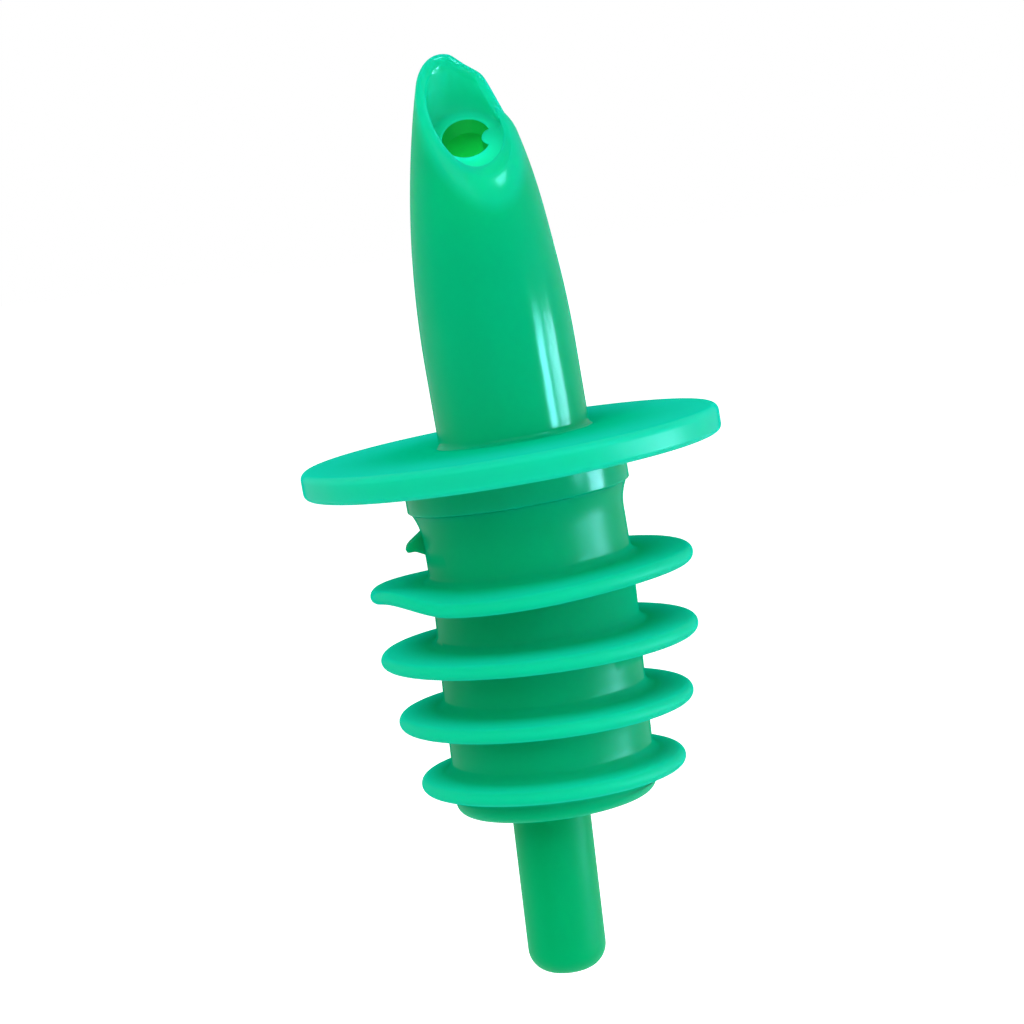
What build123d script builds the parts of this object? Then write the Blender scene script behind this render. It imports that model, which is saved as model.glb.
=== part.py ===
from build123d import *
import math
import os

# Driving dimensions of the spout moulding, in millimetres and degrees.
# Its own frame has +Z along the spout and z = 0 at the underside of the flange.
FLANGE_R = 15.7
FLANGE_T = 2.0
FLANGE_TOP_ROUND = 0.55
FLANGE_LOW_ROUND = 0.45
FLANGE_SHIFT = -0.45       # the flange and collar are moulded a little off the spout's axis
COLLAR_R = 8.35
COLLAR_H = 2.4
PARTING_CHAMFER = 0.2      # at the line between collar and stopper
SPOUT_R = 5.65
SPOUT_STRAIGHT_TOP = 8.0
SPOUT_ARC_R = 74.0         # the outline above the straight part is one long arc
SPOUT_TIP_Z = 31.0
SPOUT_ROOT_FILLET = 0.5
WALL = 1.4                 # wall of the shank, and of the spout up to the web
LIP_WALL = 0.8             # thinner wall round the mouth, above the web
BORE_TOP = 12.0            # the bore is straight up to here, and tapers above
SHANK_LEN = 14.0
SHANK_LEAD = 0.5

# The slanted mouth of the spout.
MOUTH_SLOPE = 57.0         # angle of the cut from horizontal
MOUTH_TURN = 20.0          # the cut faces this far to the right of the front
WEB_Z = 24.0               # the slanted web with the pour hole, on the spout's axis
WEB_SLOPE = 38.0
WEB_T = 1.1
POUR_HOLE_R = 1.8
POUR_HOLE_X = 0.25
POUR_HOLE_Y = -0.2
TONGUE_R = 0.62            # small round tongue that stands into the pour hole
TONGUE_X = 1.95
TONGUE_Y = -0.45

# The spout sits a little askew in the soft stopper, turned about a point inside it.
SEAT_TILT = 3.0
SEAT_PIVOT_Z = -3.0
SPOUT_SHIFT = 0.25

# Driving dimensions of the soft stopper, whose axis is the Z axis of the whole part.
BODY_R = 7.6
LIP_R = 8.15               # the sleeve flares out to meet the collar
LIP_H = 0.75
BASE_Z = -25.7
BASE_ROUND = 0.9
FLOOR_T = 2.6
CHAMBER_R = 4.85           # below the shank, which stands on the ledge that this leaves
FIN_RADII = (12.15, 11.95, 11.1, 10.0)
TOP_FIN_Z = -8.58
FIN_PITCH = 4.9
FIN_T = 1.15
FIN_BEVEL = 0.34           # on both edges of each fin's rim
TOP_FIN_LEAN = 2.2         # the uppermost fin leans with the spout
STEM_R = 2.95
STEM_BORE_R = 1.1
STEM_X = -0.6
STEM_END_Z = -38.8
STEM_END_ROUND = 1.75
INLET_ANGLES = (-60, 0, 60)  # on the side where the stem leaves the floor free
INLET_R = 0.9
INLET_PITCH_R = 3.65
STUB_Z = -5.0              # broken stub left on the stopper's side by the moulding gate
STUB_REACH = 1.3
STUB_H = 1.8
STUB_W = 2.0

FAR = 60.0                 # larger than the part, for cutting blocks
BITE = 1.0                 # how far a cutter or a joined piece runs past the face it starts from


def bend(centre_r, centre_z, radius, start, end, bands):
    """Points of an arc in an outline, which the turned solid carries as a few conical bands."""
    angles = [math.radians(start + (end - start) * i / bands) for i in range(bands + 1)]
    return [(centre_r + radius * math.cos(a), centre_z + radius * math.sin(a)) for a in angles]


def turned(outline):
    """Solid turned about the Z axis from (radius, z) points that start and end on the axis."""
    with BuildPart() as solid:
        with BuildSketch(Plane.XZ):
            with BuildLine():
                Polyline(*outline, close=True)
            make_face()
        revolve(axis=Axis.Z)
    return solid.part


def spout_r(z):
    """Outer radius of the spout at height z."""
    rise = max(z - SPOUT_STRAIGHT_TOP, 0)
    return SPOUT_R - SPOUT_ARC_R + math.sqrt(SPOUT_ARC_R ** 2 - rise ** 2)


def above(z, slope, shift=0.0):
    """Block above a plane that crosses the axis at z and falls towards the front."""
    block = Pos(0, 0, shift) * Box(FAR, FAR, FAR, align=(Align.CENTER, Align.CENTER, Align.MIN))
    return Pos(0, 0, z) * Rot(slope, 0, 0) * block


def make_flange():
    """Round flange with the collar under it."""
    outline = [(0, -COLLAR_H), (COLLAR_R - PARTING_CHAMFER, -COLLAR_H),
               (COLLAR_R, PARTING_CHAMFER - COLLAR_H), (COLLAR_R, 0)]
    outline += bend(FLANGE_R - FLANGE_LOW_ROUND, FLANGE_LOW_ROUND, FLANGE_LOW_ROUND, -90, 0, 2)
    outline += bend(FLANGE_R - FLANGE_TOP_ROUND, FLANGE_T - FLANGE_TOP_ROUND, FLANGE_TOP_ROUND, 0, 90, 2)
    outline += [(0, FLANGE_T)]
    return Pos(FLANGE_SHIFT, 0, 0) * turned(outline)


def make_outside():
    """The rigid moulding before it is cored: shank, collar, flange and spout in one piece."""
    root = SPOUT_R + SPOUT_ROOT_FILLET
    arc_end = math.degrees(math.asin((SPOUT_TIP_Z - SPOUT_STRAIGHT_TOP) / SPOUT_ARC_R))
    outline = [(0, -SHANK_LEN), (SPOUT_R - SHANK_LEAD, -SHANK_LEN), (SPOUT_R, SHANK_LEAD - SHANK_LEN),
               (SPOUT_R, FLANGE_T)]
    outline += bend(root, FLANGE_T + SPOUT_ROOT_FILLET, SPOUT_ROOT_FILLET, 270, 180, 2)
    outline += bend(SPOUT_R - SPOUT_ARC_R, SPOUT_STRAIGHT_TOP, SPOUT_ARC_R, 0, arc_end, 5)
    outline += [(0, SPOUT_TIP_Z)]
    return make_flange() + turned(outline)


def make_core():
    """What the lower core leaves hollow: a straight bore, then a taper up to the underside of the web."""
    core_top = SPOUT_TIP_Z + BITE
    outline = [(0, -SHANK_LEN - BITE), (SPOUT_R - WALL, -SHANK_LEN - BITE),
               (SPOUT_R - WALL, BORE_TOP), (spout_r(WEB_Z) - WALL, WEB_Z),
               (spout_r(core_top) - WALL, core_top), (0, core_top)]
    return turned(outline) - above(WEB_Z, WEB_SLOPE, -WEB_T)


def make_trough():
    """What the upper core leaves hollow, from the web to the mouth, in two conical bands."""
    low = WEB_Z - spout_r(WEB_Z) * math.tan(math.radians(WEB_SLOPE)) - BITE
    high = SPOUT_TIP_Z + BITE
    levels = (low, (low + high) / 2, high)
    outline = [(0, low)] + [(spout_r(z) - LIP_WALL, z) for z in levels] + [(0, high)]
    return turned(outline) & above(WEB_Z, WEB_SLOPE)


def make_spout():
    """The rigid moulding in its own frame, with its bore, its slanted mouth and the web between them."""
    hole_top = WEB_Z + (POUR_HOLE_Y + POUR_HOLE_R) * math.tan(math.radians(WEB_SLOPE))
    hole = Pos(POUR_HOLE_X, POUR_HOLE_Y, hole_top) * Cylinder(
        POUR_HOLE_R, 3 * POUR_HOLE_R, align=(Align.CENTER, Align.CENTER, Align.MAX))
    tongue = Pos(TONGUE_X, TONGUE_Y, WEB_Z) * Cylinder(TONGUE_R, FAR)
    body = make_outside() - make_core() - make_trough() - (hole - tongue)

    cut_z = SPOUT_TIP_Z - spout_r(SPOUT_TIP_Z) * math.tan(math.radians(MOUTH_SLOPE))
    return body - Rot(0, 0, MOUTH_TURN) * above(cut_z, MOUTH_SLOPE)


def make_lip():
    """Flared top of the sleeve, square to the collar that presses on it."""
    outline = [(0, -COLLAR_H - LIP_H), (BODY_R, -COLLAR_H - LIP_H), (LIP_R, -COLLAR_H), (0, -COLLAR_H)]
    return seat(Pos(FLANGE_SHIFT, 0, 0) * turned(outline))


def make_fin(radius):
    """One thin sealing fin with its rim bevelled from both sides."""
    fin = Cylinder(radius, FIN_T)
    return chamfer(fin.edges().filter_by(GeomType.CIRCLE), FIN_BEVEL)


def make_stub():
    """Low wedge on the stopper's left side, with a sloping top and a short underside."""
    inner = BITE - BODY_R
    tip = -BODY_R - STUB_REACH
    tip_z = -STUB_H / 6
    inner_z = tip_z + (STUB_H / 2 - tip_z) * (STUB_REACH + BITE) / STUB_REACH
    with BuildPart() as stub:
        with BuildSketch(Plane.XZ):
            with BuildLine():
                Polyline((inner, inner_z), (tip, tip_z), (tip + STUB_REACH / 5, -STUB_H / 2),
                         (inner, -STUB_H / 2), close=True)
            make_face()
        extrude(amount=STUB_W / 2, both=True)
    return Pos(0, 0, STUB_Z) * stub.part


def make_stem():
    """Breather stem under the floor, with a well rounded end."""
    outline = [(0, STEM_END_Z)]
    outline += bend(STEM_R - STEM_END_ROUND, STEM_END_Z + STEM_END_ROUND, STEM_END_ROUND, -90, 0, 3)
    outline += [(STEM_R, BASE_Z + BITE), (0, BASE_Z + BITE)]
    return Pos(STEM_X, 0, 0) * turned(outline)


def make_stopper():
    """The soft moulding: sleeve, fins, floor and breather stem in one piece."""
    outline = [(0, BASE_Z)] + bend(BODY_R - BASE_ROUND, BASE_Z + BASE_ROUND, BASE_ROUND, -90, 0, 2)
    outline += [(BODY_R, 0), (0, 0)]
    sleeve_end = Box(FAR, FAR, FAR, align=(Align.CENTER, Align.CENTER, Align.MIN))
    body = turned(outline) - seat(Pos(0, 0, -COLLAR_H - LIP_H) * sleeve_end) + make_lip()
    for index, radius in enumerate(FIN_RADII):
        lean = -TOP_FIN_LEAN if index == 0 else 0
        body = body + Pos(0, 0, TOP_FIN_Z - index * FIN_PITCH) * Rot(0, lean, 0) * make_fin(radius)
    body = body + make_stub() + make_stem()

    floor_z = BASE_Z + FLOOR_T
    chamber = Pos(0, 0, floor_z) * Cylinder(CHAMBER_R, BITE - SHANK_LEN - floor_z,
                                            align=(Align.CENTER, Align.CENTER, Align.MIN))
    bore = Pos(STEM_X, 0, floor_z + BITE) * Cylinder(STEM_BORE_R, floor_z - STEM_END_Z + 2 * BITE,
                                                     align=(Align.CENTER, Align.CENTER, Align.MAX))
    body = body - chamber - bore
    for angle in INLET_ANGLES:
        inlet = Pos(INLET_PITCH_R, 0, BASE_Z + FLOOR_T / 2) * Cylinder(INLET_R, FLOOR_T + 2 * BITE)
        body = body - Rot(0, 0, angle) * inlet
    return body - seat(make_outside())


def seat(shape):
    """Put a shape of the spout moulding into the stopper, a little askew."""
    return Pos(SPOUT_SHIFT, 0, SEAT_PIVOT_Z) * Rot(0, -SEAT_TILT, 0) * Pos(0, 0, -SEAT_PIVOT_Z) * shape


def main():
    os.makedirs("parts", exist_ok=True)
    for name, shape in (("spout", seat(make_spout())), ("stopper", make_stopper())):
        print(name, "valid", shape.is_valid, "solids", len(shape.solids()), "volume", round(shape.volume, 1))
        export_step(shape, f"parts/{name}.step")


main()
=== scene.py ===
import math

import bpy
from mathutils import Matrix, Quaternion, Vector


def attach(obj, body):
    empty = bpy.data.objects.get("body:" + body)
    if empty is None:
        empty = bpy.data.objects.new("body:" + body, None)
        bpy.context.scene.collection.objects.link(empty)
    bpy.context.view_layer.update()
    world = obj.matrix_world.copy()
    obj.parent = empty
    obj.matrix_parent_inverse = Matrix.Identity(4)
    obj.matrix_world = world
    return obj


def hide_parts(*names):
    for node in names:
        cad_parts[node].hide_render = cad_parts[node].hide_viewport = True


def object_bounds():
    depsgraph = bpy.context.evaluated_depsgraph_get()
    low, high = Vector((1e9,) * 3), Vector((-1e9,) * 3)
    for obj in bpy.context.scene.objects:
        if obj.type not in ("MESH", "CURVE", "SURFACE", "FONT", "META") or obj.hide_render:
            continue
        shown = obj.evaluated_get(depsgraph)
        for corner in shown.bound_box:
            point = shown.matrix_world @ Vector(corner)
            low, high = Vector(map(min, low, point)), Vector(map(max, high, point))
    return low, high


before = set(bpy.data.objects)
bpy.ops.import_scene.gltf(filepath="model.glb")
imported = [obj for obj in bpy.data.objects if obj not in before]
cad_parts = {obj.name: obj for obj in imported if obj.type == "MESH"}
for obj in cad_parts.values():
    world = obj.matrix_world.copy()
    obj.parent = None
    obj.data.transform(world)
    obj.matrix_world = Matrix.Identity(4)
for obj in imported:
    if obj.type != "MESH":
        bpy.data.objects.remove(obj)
cad_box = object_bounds()
mm = 0.001

# The camera looks at the pourer from just above the flange, a hand's breadth away,
# and is rolled a little, so that the spout leans to the left in the picture.
CAMERA_DISTANCE = 206.3 * mm
CAMERA_ELEVATION = math.radians(6.92)
CAMERA_ROLL = math.radians(-6.78)
CAMERA_LENS = 97.5
CAMERA_SENSOR = 36
CLIP_START, CLIP_END = 0.01, 10
AIM = Vector((0, 0, -3.55 * mm))
PICTURE = 1024             # pixels, both ways
FRAMING = (11.2, 2.9)      # pixels that the picture is moved right and up

back = Vector((0, -math.cos(CAMERA_ELEVATION), math.sin(CAMERA_ELEVATION)))
bpy.ops.object.select_all(action="DESELECT")
bpy.ops.object.camera_add(location=AIM + back * CAMERA_DISTANCE)
camera = bpy.context.object
camera.rotation_mode = "QUATERNION"
camera.rotation_quaternion = (-back).to_track_quat("-Z", "Y") @ Quaternion((0, 0, 1), CAMERA_ROLL)
camera.data.lens = CAMERA_LENS
camera.data.sensor_width = CAMERA_SENSOR
camera.data.shift_x = -FRAMING[0] / PICTURE
camera.data.shift_y = -FRAMING[1] / PICTURE
camera.data.clip_start = CLIP_START
camera.data.clip_end = CLIP_END
bpy.context.scene.camera = camera
bpy.context.scene.view_settings.view_transform = "Standard"

# The studio: a white floor some way below the pourer, a white surround and soft lamps.
FLOOR_DROP = 25 * mm
FLOOR_SIZE = 6.0
PAPER_GLOW = 0.65          # what the floor adds to its own light where it is seen
SURROUND_LEVEL = 0.55      # of the surround's light on the pourer, where 1 is how white it looks


def srgb(code):
    """Linear colour from a hex code."""
    parts = [int(code[i:i + 2], 16) / 255 for i in (1, 3, 5)]
    return [p / 12.92 if p <= 0.04045 else ((p + 0.055) / 1.055) ** 2.4 for p in parts] + [1]


def node(tree, kind, inputs=None, **settings):
    """Add a node with its settings, and its inputs as values or as links from other outputs."""
    made = tree.nodes.new(kind)
    for key, value in settings.items():
        setattr(made, key, value)
    for key, value in (inputs or {}).items():
        if isinstance(value, bpy.types.NodeSocket):
            tree.links.new(value, made.inputs[key])
        else:
            made.inputs[key].default_value = value
    return made


def seen(tree):
    """1 for rays that see the surround itself, straight, in a gloss or through glass, and 0 for its light."""
    rays = node(tree, "ShaderNodeLightPath")
    plain = node(tree, "ShaderNodeMath", {0: rays.outputs["Is Camera Ray"], 1: rays.outputs["Is Glossy Ray"]},
                 operation="MAXIMUM")
    return node(tree, "ShaderNodeMath", {0: plain.outputs[0], 1: rays.outputs["Is Transmission Ray"]},
                operation="MAXIMUM").outputs[0]


floor_z = cad_box[0].z - FLOOR_DROP
bpy.ops.mesh.primitive_plane_add(size=FLOOR_SIZE, location=(0, 0, floor_z))
floor = bpy.context.object
floor.name = "floor"
paper = bpy.data.materials.new("white paper")
paper.use_nodes = True
tree = paper.node_tree
tree.nodes.clear()
sheet = node(tree, "ShaderNodeBsdfDiffuse", {"Color": srgb("#F4F4F4")})
lift = node(tree, "ShaderNodeMath", {0: seen(tree), 1: PAPER_GLOW}, operation="MULTIPLY")
glow = node(tree, "ShaderNodeEmission", {"Color": (1, 1, 1, 1), "Strength": lift.outputs[0]})
both = node(tree, "ShaderNodeAddShader", {0: sheet.outputs[0], 1: glow.outputs[0]})
node(tree, "ShaderNodeOutputMaterial", {"Surface": both.outputs[0]})
floor.data.materials.append(paper)

world = bpy.data.worlds.new("white surround")
bpy.context.scene.world = world
world.use_nodes = True
tree = world.node_tree
tree.nodes.clear()
level = node(tree, "ShaderNodeMapRange", {"Value": seen(tree), "To Min": SURROUND_LEVEL, "To Max": 1.0})
surround = node(tree, "ShaderNodeBackground", {"Color": (1, 1, 1, 1), "Strength": level.outputs[0]})
node(tree, "ShaderNodeOutputWorld", {"Surface": surround.outputs[0]})


def lamp(name, azimuth, elevation, distance, width, height, watts, colour="#FFFFFF", lights=True):
    """Lamp that faces the pourer, and lights it or only shines on it. Azimuth 0 is behind the camera."""
    a, e = math.radians(azimuth), math.radians(elevation)
    outward = Vector((math.sin(a) * math.cos(e), -math.cos(a) * math.cos(e), math.sin(e)))
    light = bpy.data.lights.new(name, "AREA")
    light.shape = "RECTANGLE"
    light.size = width
    light.size_y = height
    light.energy = watts
    light.color = srgb(colour)[:3]
    made = bpy.data.objects.new(name, light)
    made.location = outward * distance
    made.rotation_mode = "QUATERNION"
    made.rotation_quaternion = outward.to_track_quat("Z", "Y")
    made.visible_diffuse = lights
    bpy.context.scene.collection.objects.link(made)


# The key lamp and the window light the pourer. The three others only shine in its gloss.
WINDOW = "#B4E6FF"
lamp("key lamp", -15, 38, 1.0, 0.8, 0.6, 5.3)
lamp("window", 70, 0, 0.6, 0.2, 0.08, 1.25, WINDOW)
lamp("window shine", 66, 0, 0.6, 0.12, 0.06, 4.5, WINDOW, lights=False)
lamp("low window shine", 87, -5, 0.25, 0.08, 0.085, 1.9, WINDOW, lights=False)
lamp("high window shine", 52, 42, 0.6, 0.12, 0.12, 4, WINDOW, lights=False)

# A speck of light in the bore stands for the daylight that comes through the spout's walls.
GLOW_WATTS = 0.0011
GLOW_R = 0.5
GLOW_PLACE = Vector((-0.9, 0, 19))
light = bpy.data.lights.new("bore glow", "POINT")
light.energy = GLOW_WATTS
light.shadow_soft_size = GLOW_R * mm
glow = bpy.data.objects.new("bore glow", light)
glow.location = GLOW_PLACE * mm
glow.visible_camera = glow.visible_glossy = False
bpy.context.scene.collection.objects.link(glow)

# The spout moulding: spout, flange, collar and hidden shank in one piece of rigid plastic.
# It is cored from below and from the mouth, and the two cores meet at the slanted web.
FLANGE_R = 15.7
FLANGE_T = 2.0
FLANGE_TOP_ROUND = 0.55
FLANGE_LOW_ROUND = 0.45
FLANGE_SHIFT = -0.45
COLLAR_R = 8.35
COLLAR_H = 2.4
COLLAR_ROUND = 0.12
SPOUT_R = 5.65
SPOUT_STRAIGHT_TOP = 8.0
SPOUT_ARC_R = 74.0
SPOUT_ROOT_FILLET = 0.5
WALL = 1.4
LIP_WALL = 0.8             # the wall is thinner round the mouth
SHANK_LEN = 14.0
SHANK_LEAD = 0.5
TIP_Z = 30.78              # where the slanted mouth meets the back of the spout
MOUTH_SLOPE = math.radians(57)
MOUTH_TURN = math.radians(20)
LIP_OUTER = (0.35, 0.5)    # how far the lip's rounding reaches inwards and down, outside and inside
LIP_INNER = (0.45, 0.6)
LIP_DIPS = ((62, 30, 0.42), (16.5, 20.5, 2.0))   # where the cut dips, how far each way, and how deep
LIP_SOFT = (2, 34)         # where and how far each way the outer rounding is larger
LIP_SOFTNESS = 1.15
BULGE = 0.16               # of the spout's right side under the mouth
BULGE_Z = 22.1
BULGE_REACH = 7.0
WEB_Z = 24.35
WEB_T = 1.1
WEB_SLOPE = math.radians(38)
WEB_ROUND = 1.3            # where the web runs up into the wall of the mouth
LEAST_WALL = 0.12          # what stays of that wall where the mouth's edge comes down to the web
HOLE_ROUND = 0.2
POUR_HOLE_R = 1.8
POUR_HOLE = Vector((0.25, -0.2))
TONGUE_R = 0.62
TONGUE = Vector((1.95, -0.45))
TONGUE_BLEND = 0.2
SEAT_TILT = math.radians(3)
SEAT_PIVOT_Z = -3.0
SPOUT_SHIFT = 0.25
SPIN_STEPS = 160
LONGEST_RUN = 0.8          # straight runs of an outline are divided, so that they shade evenly
HAIR = 0.01                # by which a point may miss the radius or the height that it was given
SETTLING = 20              # rounds in which a height that depends on its own place settles
SMOOTH_ANGLE = math.radians(35)


def bend(centre_r, centre_z, radius, start, end, steps=8):
    """Points of a rounded corner in an outline of (radius, height) points."""
    angles = [math.radians(start + (end - start) * i / steps) for i in range(steps + 1)]
    return [(centre_r + radius * math.cos(a), centre_z + radius * math.sin(a)) for a in angles]


def divided(outline):
    """The outline with its long straight runs divided."""
    points = []
    for (r0, z0), (r1, z1) in zip(outline, outline[1:] + outline[:1]):
        parts = max(1, math.ceil(math.hypot(r1 - r0, z1 - z0) / LONGEST_RUN))
        points += [(r0 + (r1 - r0) * i / parts, z0 + (z1 - z0) * i / parts) for i in range(parts)]
    return points


def pick(piece):
    """Select one piece alone and make it the active one."""
    bpy.ops.object.select_all(action="DESELECT")
    piece.select_set(True)
    bpy.context.view_layer.objects.active = piece


def spun(name, outline):
    """Closed piece spun about the Z axis from its closed outline, in millimetres."""
    points = divided(outline)
    mesh = bpy.data.meshes.new(name)
    mesh.from_pydata([(r * mm, 0, z * mm) for r, z in points],
                     [(i, (i + 1) % len(points)) for i in range(len(points))], [])
    piece = bpy.data.objects.new(name, mesh)
    bpy.context.scene.collection.objects.link(piece)
    pick(piece)
    bpy.ops.object.mode_set(mode="EDIT")
    bpy.ops.mesh.select_all(action="SELECT")
    bpy.ops.mesh.spin(steps=SPIN_STEPS, angle=2 * math.pi, center=(0, 0, 0), axis=(0, 0, 1))
    bpy.ops.mesh.select_all(action="SELECT")
    bpy.ops.mesh.remove_doubles(threshold=0.001 * mm)
    bpy.ops.mesh.normals_make_consistent(inside=False)
    bpy.ops.object.mode_set(mode="OBJECT")
    return piece


def ogive_r(z):
    """Outer radius of the spout at height z."""
    rise = max(z - SPOUT_STRAIGHT_TOP, 0)
    return SPOUT_R - SPOUT_ARC_R + math.sqrt(SPOUT_ARC_R ** 2 - rise ** 2)


# The moulding is spun with a straight tube and a level web, and drawn to its shape after that.
tube_top = TIP_Z
bore_r = SPOUT_R - WALL
mouth_r = SPOUT_R - LIP_WALL
web_low = WEB_Z - WEB_T
outline = [(bore_r, -SHANK_LEN), (SPOUT_R - SHANK_LEAD, -SHANK_LEN), (SPOUT_R, SHANK_LEAD - SHANK_LEN),
           (SPOUT_R, -COLLAR_H)]
outline += bend(COLLAR_R - COLLAR_ROUND, COLLAR_ROUND - COLLAR_H, COLLAR_ROUND, -90, 0)
outline += bend(COLLAR_R + COLLAR_ROUND, -COLLAR_ROUND, COLLAR_ROUND, 180, 90)
outline += bend(FLANGE_R - FLANGE_LOW_ROUND, FLANGE_LOW_ROUND, FLANGE_LOW_ROUND, -90, 0)
outline += bend(FLANGE_R - FLANGE_TOP_ROUND, FLANGE_T - FLANGE_TOP_ROUND, FLANGE_TOP_ROUND, 0, 90)
outline += bend(SPOUT_R + SPOUT_ROOT_FILLET, FLANGE_T + SPOUT_ROOT_FILLET, SPOUT_ROOT_FILLET, 270, 180)
outline += [(SPOUT_R + LIP_OUTER[0] * (r - 1), tube_top + LIP_OUTER[1] * (z - 1))
            for r, z in bend(0, 0, 1, 0, 90, 12)]
outline += [(mouth_r + LIP_INNER[0] * (r + 1), tube_top + LIP_INNER[1] * (z - 1))
            for r, z in bend(0, 0, 1, 90, 180, 6)[1:]]
outline += bend(mouth_r - WEB_ROUND, WEB_Z + WEB_ROUND, WEB_ROUND, 0, -90)
outline += bend(POUR_HOLE_R + HOLE_ROUND, WEB_Z - HOLE_ROUND, HOLE_ROUND, 90, 180)
outline += [(POUR_HOLE_R, web_low), (bore_r, web_low)]
spout = spun("pour_spout_moulding", outline)
seat = (Matrix.Translation((SPOUT_SHIFT, 0, SEAT_PIVOT_Z)) @ Matrix.Rotation(-SEAT_TILT, 4, "Y")
        @ Matrix.Translation((0, 0, -SEAT_PIVOT_Z)))


def pour_hole_r(angle):
    """Distance from the hole's centre to its edge, where the tongue stands in its way."""
    out = Vector((math.cos(angle), math.sin(angle)))
    across = TONGUE - POUR_HOLE
    along = across.dot(out)
    gap = TONGUE_R ** 2 - (across.length_squared - along ** 2)
    if along <= 0 or gap <= 0:
        return POUR_HOLE_R
    reach = along - math.sqrt(gap)
    blend = max(0, 1 - abs(reach - POUR_HOLE_R) / TONGUE_BLEND)
    return min(POUR_HOLE_R, reach) - TONGUE_BLEND * blend * blend / 4


def near(x, y, middle, reach):
    """Share from 1 in the middle direction down to 0 at the reach on both sides of it, in degrees."""
    away = (math.degrees(math.atan2(y, x)) - middle) / reach
    return max(0, 1 - away * away) ** 2


def mouth_z(x, y):
    """Height of the slanted cut above a point."""
    cut_z = TIP_Z - ogive_r(TIP_Z) * math.tan(MOUTH_SLOPE)
    cut_z += (y * math.cos(MOUTH_TURN) - x * math.sin(MOUTH_TURN)) * math.tan(MOUTH_SLOPE)
    return cut_z - sum(depth * near(x, y, middle, reach) for middle, reach, depth in LIP_DIPS)


def lip_reach(way):
    """How far the lip's roundings reach down where the cut crosses the wall at a slant."""
    rise = (way.y * math.cos(MOUTH_TURN) - way.x * math.sin(MOUTH_TURN)) * math.tan(MOUTH_SLOPE)
    return math.hypot(1, rise)


def wall_base(way):
    """Height of the fillet between the web and the wall, which gives way where the mouth's edge is near."""
    z = WEB_Z
    for _ in range(SETTLING):
        place = way * (ogive_r(z) - SPOUT_R + mouth_r)
        z = WEB_Z + place.y * math.tan(WEB_SLOPE)
    room = mouth_z(place.x, place.y) - LIP_INNER[1] * lip_reach(way) - z
    return min(WEB_ROUND, max(room - LEAST_WALL, LEAST_WALL / 2))


def drawn(x, y, z):
    """Where a point of the straight tube lies on the tapered spout with its slanted mouth."""
    r = math.hypot(x, y)
    if z <= SPOUT_STRAIGHT_TOP or r > SPOUT_R + HAIR:
        return x, y, z
    way = Vector((x / r, y / r))
    outside = r > mouth_r + LIP_INNER[0]
    over_web = z > WEB_Z - WEB_T / 2 and not outside
    wall_r = mouth_r if over_web else bore_r
    climb = math.tan(WEB_SLOPE)
    new_z = z
    if r < wall_r - HAIR:
        # the web, from the edge of the pour hole out to the wall
        share = (r - POUR_HOLE_R) / (wall_r - POUR_HOLE_R)
        edge = POUR_HOLE + way * pour_hole_r(math.atan2(y, x))
        height = z if z < WEB_Z else WEB_Z + (z - WEB_Z) * wall_base(way) / WEB_ROUND
        for _ in range(SETTLING):
            place = edge.lerp(way * (ogive_r(new_z) - SPOUT_R + wall_r), share)
            new_z = height + place.y * climb
        return place.x, place.y, new_z
    # the walls, each stretched between its own ends, and the lip, whose crest lies where it is softest
    softness = 1 + LIP_SOFTNESS * near(x, y, *LIP_SOFT)
    base_h = wall_base(way) if over_web else 0
    lip_h, lip_fall = (LIP_OUTER[1], LIP_OUTER[1] * softness) if outside else (LIP_INNER[1], LIP_INNER[1])
    if outside:
        r = SPOUT_R - (SPOUT_R - r) * softness
    elif r > mouth_r:
        r = mouth_r + (r - mouth_r) * (LIP_WALL - LIP_OUTER[0] * softness) / LIP_INNER[0]
    for _ in range(SETTLING):
        place = way * (ogive_r(new_z) - SPOUT_R + r)
        cut_z = mouth_z(place.x, place.y)
        low, new_low = SPOUT_STRAIGHT_TOP, SPOUT_STRAIGHT_TOP
        high, new_high = tube_top - lip_h, cut_z - lip_fall * lip_reach(way)
        if over_web:
            low = WEB_Z + WEB_ROUND
            new_low = WEB_Z + place.y * climb + base_h
            new_high = max(new_high, new_low + LEAST_WALL / 2)
        elif not outside:
            high = web_low
            new_high = high + place.y * climb
        if z > tube_top - lip_h:
            new_z = cut_z - (tube_top - z) * (cut_z - new_high) / lip_h
        else:
            new_z = new_low + (z - low) * (new_high - new_low) / (high - low)
    if outside:
        swell = (max(0, 1 - ((new_z - BULGE_Z) / BULGE_REACH) ** 2)
                 * max(0, math.cos(math.atan2(y, x) + MOUTH_TURN)))
        place += way * BULGE * swell ** 2
    return place.x, place.y, new_z


def eased(value, start, end):
    """Share from 0 at start to 1 at end, with a soft beginning and a soft end."""
    share = min(max((value - start) / (end - start), 0), 1)
    return share * share * (3 - 2 * share)


def mark(piece, name, values):
    """Keep one number for each point of a piece, which its material reads."""
    piece.data.attributes.new(name, "FLOAT", "POINT").data.foreach_set("value", values)


FLANGE_PALE = 0.85         # painted glow: how pale the flange's rim and the spout's lip are painted
LIP_PALE = 0.5
LIP_PALE_REACH = 2.4       # how far below the lip its painted paleness fades
MOUTH_PALE = 0.6           # painted light at the back of the mouth, which is as matt as it is painted pale
MOUTH_FRONT_PALE = 0.35    # and what its front has beyond that
MOUTH_FADE = (-1, 2)       # between these distances to the front
FLANGE_FADE = 1.0          # the flange's painted glow grows from this far outside the spout to this far inside the rim
FLAT_MATT = 0.75           # of flat faces, where 0 is polished
RIM_POLISH = 0.6           # what the flange's rim is more polished than that
RIM_BAND = 0.5

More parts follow.
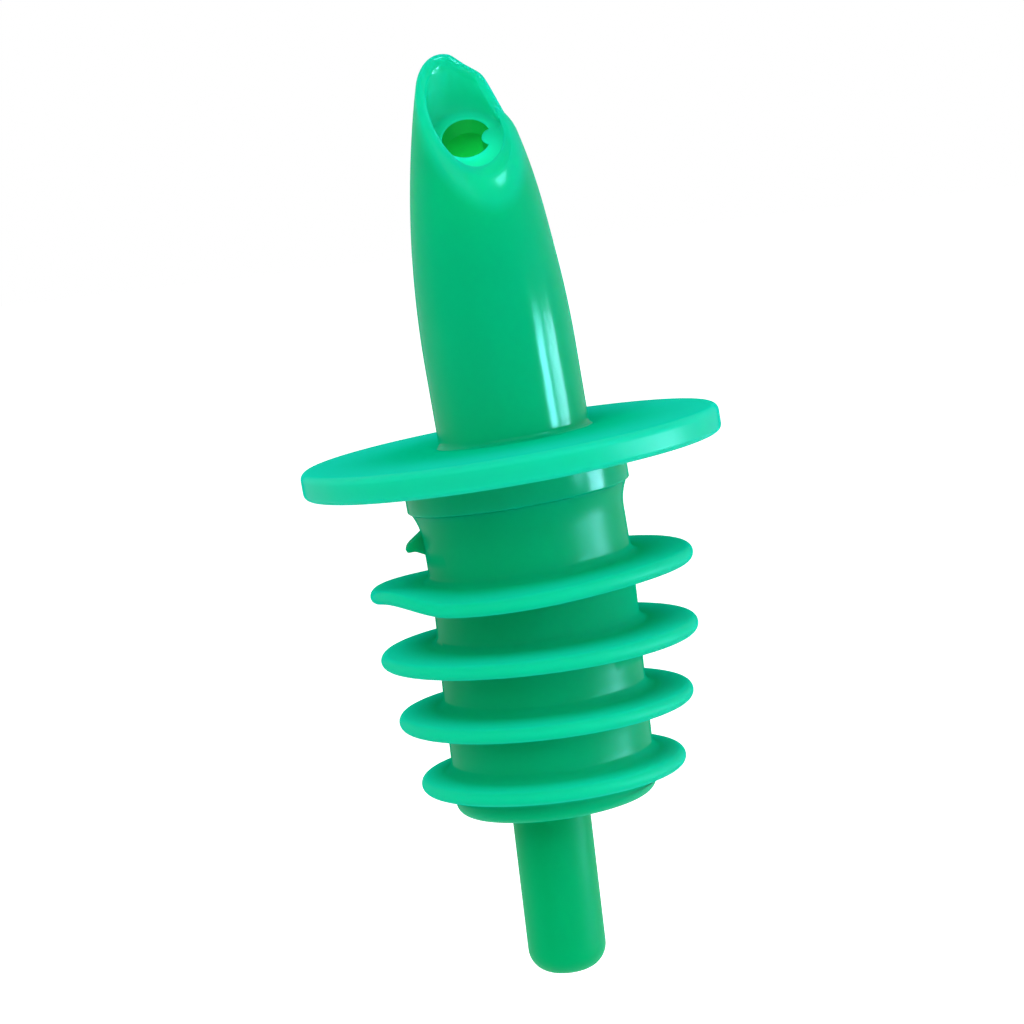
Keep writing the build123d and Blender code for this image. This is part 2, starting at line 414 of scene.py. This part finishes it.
painted_glow, inside, matt = [], [], []
for v in spout.data.vertices:
    x, y, z = [c / mm for c in v.co]
    r = math.hypot(x, y)
    at_lip = eased(z, tube_top - LIP_PALE_REACH, tube_top) if r > mouth_r - HAIR else 0
    above_web = z > WEB_Z - HOLE_ROUND / 2
    in_mouth = 0
    if above_web and r < mouth_r + HAIR:
        in_mouth = MOUTH_PALE + MOUTH_FRONT_PALE * eased(-y, *MOUTH_FADE)
    on_flange = eased(r, SPOUT_R + FLANGE_FADE, FLANGE_R - FLANGE_FADE)
    # painted glow and painted light: the flange, the lip and the shaded mouth are painted paler
    painted_glow.append(max(FLANGE_PALE * on_flange, LIP_PALE * at_lip, in_mouth))
    # the bore is painted a deeper, yellower green, for light that reaches it through the walls
    inside.append(r < mouth_r - HAIR and not above_web)
    flat_from, fillet = (SPOUT_R, SPOUT_ROOT_FILLET) if z > FLANGE_T / 2 else (COLLAR_R, COLLAR_ROUND)
    on_flat = eased(r, flat_from + fillet / 5, flat_from + fillet)
    at_rim = eased(r, FLANGE_R - RIM_BAND, FLANGE_R)
    matt.append(max(FLAT_MATT * (on_flat - RIM_POLISH * at_rim), in_mouth))
    x, y, z = drawn(x, y, z)
    r = math.hypot(x, y)
    if -COLLAR_H - HAIR < z < FLANGE_T + HAIR and r > SPOUT_R + HAIR:
        x += FLANGE_SHIFT * min(1, (r - SPOUT_R) / (COLLAR_R - SPOUT_R))
    v.co = seat @ Vector((x, y, z)) * mm
bpy.ops.object.shade_smooth_by_angle(angle=SMOOTH_ANGLE)
for name, values in (("painted_glow", painted_glow), ("inside", inside), ("matt", matt)):
    mark(spout, name, values)
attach(spout, "root")
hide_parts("spout")

# Polyethylene coloured right through. Painted glow makes rims, lip and mouth paler and bluer, as if light
# came through thin plastic, and painted light makes the bore deeper and yellower. Cylindrical faces came off
# polished steel, flat ones are matt.
CLOUD_SIZE = 11.11         # of the faint clouds in colour and polish
CLOUD_CONTRAST = 0.06
POLISH_CONTRAST = 0.04
WAVE_SIZE = 5.882          # of the low waves that the plastic shrinks into
WAVE_DEPTH = 0.12
GRAIN_SIZE = 0.4           # of the steel's grain, drawn coarse enough to show
GRAIN_DEPTH = 0.003
PLASTIC_IOR = 1.5
GLOSS_TINT = (0.4, 1, 0.95, 1)
SCATTER_DEPTH = 2.5        # how far green light goes in this plastic
SCATTER_SHARES = (0.2, 1.0, 0.8)  # and what red, green and blue light go of that
LIMB_FADE = (0.4, 0.85)    # the gloss fades between these facings, so that edges look less white


def polyethylene(name, thick, painted_glow, inside, gloss, matt, shine):
    """Moulded plastic with its own colour, a painted glow colour and a painted bore colour, and its roughness
    on polished and on matt faces.
    """
    made = bpy.data.materials.new(name)
    made.use_nodes = True
    tree = made.node_tree
    tree.nodes.clear()
    place = node(tree, "ShaderNodeTexCoord").outputs["Object"]
    rim = node(tree, "ShaderNodeAttribute", attribute_name="painted_glow").outputs["Fac"]
    bore = node(tree, "ShaderNodeAttribute", attribute_name="inside").outputs["Fac"]
    flat = node(tree, "ShaderNodeAttribute", attribute_name="matt").outputs["Fac"]
    patterns = []
    for size, detail in ((CLOUD_SIZE, 2), (WAVE_SIZE, 1), (GRAIN_SIZE, 3)):
        noise = node(tree, "ShaderNodeTexNoise", {"Vector": place, "Detail": detail,
                                                  "Scale": 1 / (size * mm)})
        patterns.append(noise.outputs["Fac"])
    cloud, wave, grain = patterns
    # painted glow and painted bore light: the own colour is mixed towards the glow colour and the bore's
    # colour by their masks
    depth = node(tree, "ShaderNodeMix", {"Factor": rim, "A": srgb(thick), "B": srgb(painted_glow)}, data_type="RGBA")
    colour = node(tree, "ShaderNodeMix", {"Factor": bore, "A": depth.outputs["Result"], "B": srgb(inside)},
                  data_type="RGBA")
    value = node(tree, "ShaderNodeMapRange", {"Value": cloud, "To Min": 1 - CLOUD_CONTRAST,
                                              "To Max": 1 + CLOUD_CONTRAST})
    tint = node(tree, "ShaderNodeHueSaturation", {"Color": colour.outputs["Result"],
                                                  "Value": value.outputs[0]})
    rough = node(tree, "ShaderNodeMapRange", {"Value": flat, "To Min": gloss, "To Max": matt})
    patch = node(tree, "ShaderNodeMapRange", {"Value": cloud, "To Min": -POLISH_CONTRAST,
                                              "To Max": POLISH_CONTRAST})
    rough = node(tree, "ShaderNodeMath", {0: rough.outputs[0], 1: patch.outputs[0]}, operation="ADD")
    uneven = node(tree, "ShaderNodeBump", {"Height": wave, "Strength": 1, "Distance": WAVE_DEPTH * mm})
    pitted = node(tree, "ShaderNodeBump", {"Height": grain, "Strength": 1, "Distance": GRAIN_DEPTH * mm,
                                           "Normal": uneven.outputs[0]})
    edge = node(tree, "ShaderNodeLayerWeight", {"Blend": 0.5}).outputs["Facing"]
    sheen = node(tree, "ShaderNodeMapRange", {"Value": edge, "To Min": shine, "To Max": 0,
                                              "From Min": LIMB_FADE[0], "From Max": LIMB_FADE[1]})
    scatter = node(tree, "ShaderNodeMapRange", {"Value": bore, "To Min": 1, "To Max": 0})
    skin = node(tree, "ShaderNodeBsdfPrincipled", {
        "Base Color": tint.outputs[0], "Roughness": rough.outputs[0], "Normal": pitted.outputs[0],
        "IOR": PLASTIC_IOR, "Specular IOR Level": shine, "Specular Tint": GLOSS_TINT,
        "Subsurface Weight": scatter.outputs[0], "Subsurface Radius": SCATTER_SHARES,
        "Subsurface Scale": SCATTER_DEPTH * mm})
    # the level set above stays for a program that drops this link
    tree.links.new(sheen.outputs[0], skin.inputs["Specular IOR Level"])
    node(tree, "ShaderNodeOutputMaterial", {"Surface": skin.outputs[0]})
    return made


spout.data.materials.append(polyethylene(
    "rigid green polyethylene, moulded", thick="#00B37B", painted_glow="#10CDA6", inside="#0A9A3C",
    gloss=0.15, matt=0.9, shine=0.06))

# The stopper: one soft moulding of sleeve, four sealing fins, floor and breather stem. The spout's
# shank is pushed into its sleeve, and its lip and upper fins give way to the spout's slight lean.
BODY_R = 7.6
LIP_R = 8.1
LIP_FLARE = 2.0            # height over which the sleeve flares out to its lip
FLARE_STEPS = 8
LIP_EDGE_ROUND = 0.1
BASE_Z = -25.7
BASE_ROUND = 0.9
FLOOR_T = 2.6
CHAMBER_R = 4.85
FIN_RADII = (12.15, 11.95, 11.1, 10.0)
TOP_FIN_Z = -8.58
FIN_PITCH = 4.9
FIN_ROOT_T = 1.4
FIN_RIM_T = 1.1
FIN_ROOT_FILLET = 0.75
TOP_FIN_LIFT = 0.05        # the uppermost fin is bent a little upwards
TOP_FIN_WAVES = ((2, 0.2), (3, -0.13))  # and wavy, with so many waves round its rim and so high
TOP_FIN_KINK = (-150, 28)  # where it is kinked upwards, and how far each way
TOP_FIN_KINK_H = 0.65
BASE_LEAN = 0.15           # the right side of the base is this much higher than its middle
STEM_R = 2.95
STEM_BORE_R = 1.1
STEM_X = -0.6
STEM_END_Z = -38.8
STEM_END_ROUND = 1.85
STEM_ROOT_FILLET = 0.3
SLEEVE_HELD_Z = -4.0       # above this the sleeve leans as the spout does
SLEEVE_STILL_Z = -17.0     # and below this it stands straight
INLET_ANGLES = (-60, 0, 60)
INLET_R = 0.9
INLET_PITCH_R = 3.65
STUB_Z = -4.85
STUB_REACH = 1.45
STUB_H = 1.7
STUB_W = 2.0

floor_top = BASE_Z + FLOOR_T
outline = [(STEM_BORE_R, STEM_END_Z)]
outline += bend(STEM_R - STEM_END_ROUND, STEM_END_Z + STEM_END_ROUND, STEM_END_ROUND, -90, 0, 12)[1:]
outline += bend(STEM_R + STEM_ROOT_FILLET, BASE_Z - STEM_ROOT_FILLET, STEM_ROOT_FILLET, 180, 90)
outline += bend(BODY_R - BASE_ROUND, BASE_Z + BASE_ROUND, BASE_ROUND, -90, 0)
for fin in (3, 2, 1, 0):
    fin_z = TOP_FIN_Z - fin * FIN_PITCH
    root = FIN_ROOT_T / 2 + FIN_ROOT_FILLET
    outline += bend(BODY_R + FIN_ROOT_FILLET, fin_z - root, FIN_ROOT_FILLET, 180, 90, 6)
    outline += bend(FIN_RADII[fin] - FIN_RIM_T / 2, fin_z, FIN_RIM_T / 2, -90, 90, 12)
    outline += bend(BODY_R + FIN_ROOT_FILLET, fin_z + root, FIN_ROOT_FILLET, 270, 180, 6)
for step in range(FLARE_STEPS):
    climb = step / FLARE_STEPS
    outline += [(BODY_R + (LIP_R - BODY_R) * climb ** 2,
                 -COLLAR_H - LIP_EDGE_ROUND - LIP_FLARE * (1 - climb))]
outline += bend(LIP_R - LIP_EDGE_ROUND, -COLLAR_H - LIP_EDGE_ROUND, LIP_EDGE_ROUND, 0, 90, 4)
outline += [(SPOUT_R, -COLLAR_H), (SPOUT_R, SHANK_LEAD - SHANK_LEN), (SPOUT_R - SHANK_LEAD, -SHANK_LEN),
            (CHAMBER_R, -SHANK_LEN), (CHAMBER_R, floor_top), (STEM_BORE_R, floor_top)]
stopper = spun("stopper_moulding", outline)


def yielded(x, y, z):
    """Where a point of the straight stopper lies, with the spout in it and its stem off centre."""
    r = math.hypot(x, y)
    if r > BODY_R and abs(z - TOP_FIN_Z) < FIN_PITCH / 2:
        way = math.atan2(y, x)
        warp = TOP_FIN_LIFT + sum(height * math.cos(waves * way) for waves, height in TOP_FIN_WAVES)
        warp += TOP_FIN_KINK_H * near(x, y, *TOP_FIN_KINK)
        z += warp * (r - BODY_R) / (FIN_RADII[0] - BODY_R)
    lean = 0
    if z < BASE_Z + BASE_ROUND:
        lean = BASE_LEAN * x / BODY_R * eased(r, STEM_R + STEM_ROOT_FILLET, BODY_R - BASE_ROUND)
    if z < BASE_Z + HAIR:
        x += STEM_X * (1 - eased(r, STEM_R + STEM_ROOT_FILLET, BODY_R - BASE_ROUND))
    elif z < floor_top + HAIR:
        x += STEM_X * (1 - eased(r, STEM_BORE_R, CHAMBER_R))
    z += lean
    inside = r < SPOUT_R + HAIR
    share = eased(z, SLEEVE_STILL_Z, -SHANK_LEN if inside else SLEEVE_HELD_Z)
    aside = FLANGE_SHIFT * min(1, max(0, r - SPOUT_R) / (BODY_R - SPOUT_R))
    return Vector((x, y, z)).lerp(seat @ Vector((x + aside, y, z)), share)


for v in stopper.data.vertices:
    v.co = yielded(*[c / mm for c in v.co]) * mm


def cut(piece, tool, operation):
    """Join a closed tool to a piece, or take it away."""
    change = piece.modifiers.new(operation, "BOOLEAN")
    change.operation = operation
    change.solver = "EXACT"
    change.object = tool
    pick(piece)
    bpy.ops.object.modifier_apply(modifier=change.name)
    bpy.data.objects.remove(tool)


# Three air inlets through the floor, on the side where the stem leaves it free.
for degrees in INLET_ANGLES:
    angle = math.radians(degrees)
    bpy.ops.object.select_all(action="DESELECT")
    bpy.ops.mesh.primitive_cylinder_add(
        vertices=32, radius=INLET_R * mm, depth=2 * FLOOR_T * mm,
        location=(INLET_PITCH_R * math.cos(angle) * mm, INLET_PITCH_R * math.sin(angle) * mm,
                  (BASE_Z + FLOOR_T / 2) * mm))
    cut(stopper, bpy.context.object, "DIFFERENCE")

# The broken stub that the moulding gate left on the left side, its top sloping out to a blunt tip.
# Its outline goes round from the top, as places left to right and as shares of its height.
STUB_BITE = 0.7            # how far the stub runs into the sleeve, so that the two join
STUB_EDGE = 0.12
inner, tip = STUB_BITE - BODY_R, -BODY_R - STUB_REACH
profile = [(inner, 0.8), (-BODY_R, 0.42), (tip + 0.25, -0.12), (tip, -0.3), (tip + 0.15, -0.5),
           (tip + 0.75, -0.48), (-BODY_R, -0.66), (inner, -1)]
mesh = bpy.data.meshes.new("stub")
mesh.from_pydata([(x * mm, -STUB_W / 2 * mm, (STUB_Z + STUB_H * share) * mm) for x, share in profile],
                 [], [tuple(range(len(profile)))])
stub = bpy.data.objects.new("stub", mesh)
bpy.context.scene.collection.objects.link(stub)
pick(stub)
bpy.ops.object.mode_set(mode="EDIT")
bpy.ops.mesh.select_all(action="SELECT")
bpy.ops.mesh.extrude_region_move(TRANSFORM_OT_translate={"value": (0, STUB_W * mm, 0)})
bpy.ops.mesh.select_all(action="SELECT")
bpy.ops.mesh.normals_make_consistent(inside=False)
bpy.ops.mesh.bevel(offset=STUB_EDGE * mm, segments=3)
bpy.ops.object.mode_set(mode="OBJECT")
cut(stopper, stub, "UNION")
bpy.ops.object.shade_smooth_by_angle(angle=SMOOTH_ANGLE)

BODY_PALE = 0.2            # painted light: how pale the sleeve and the fins are painted, and the stem, which the floor lights, is not
FIN_PALE = 0.75            # the painted glow that the fins have beyond that
FIN_FADE = (0.05, 0.8)     # between these shares of their breadth
RIM_DARK = 0.35            # what their round rims have less, as more light falls on them
RIM_POLISH = 0.7           # what they are more polished than the fins' faces
FIN_RIM_BAND = (0.5, 0.1)  # the rims' band begins and is full so far inside their radius
SKIN = 0.9                 # the bore's painted colour reaches this far out from the shank
EDGE = 0.1                 # and keeps this far from the sleeve's two ends

painted_glow, inside, matt = [], [], []
for v in stopper.data.vertices:
    x, y, z = v.co / mm
    r = math.hypot(x, y)
    fin_r = FIN_RADII[min(max(round((TOP_FIN_Z - z) / FIN_PITCH), 0), 3)]
    on_fin = r > BODY_R + 2 * HAIR and z < TOP_FIN_Z + FIN_PITCH / 2
    share = (r - BODY_R) / (fin_r - BODY_R) if on_fin else 0
    at_rim = eased(r, *[fin_r - inset for inset in FIN_RIM_BAND])
    body_pale = BODY_PALE if z > BASE_Z - EDGE else 0
    # painted glow on the sleeve and the fins, less on their rims, where more light falls
    painted_glow.append(body_pale + FIN_PALE * eased(share, *FIN_FADE) - RIM_DARK * at_rim)
    # the sleeve's bore is painted a deeper, yellower green, for light that reaches it through the walls
    inside.append(r < SPOUT_R + SKIN and BASE_Z + EDGE < z < -COLLAR_H - EDGE)
    matt.append(1 - RIM_POLISH * at_rim if on_fin else 0)
for name, values in (("painted_glow", painted_glow), ("inside", inside), ("matt", matt)):
    mark(stopper, name, values)
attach(stopper, "root")
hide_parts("stopper")
stopper.data.materials.append(polyethylene(
    "soft green polyethylene, moulded", thick="#00AE6C", painted_glow="#0CCCA8", inside="#0A9A3C",
    gloss=0.34, matt=0.95, shine=0.05))
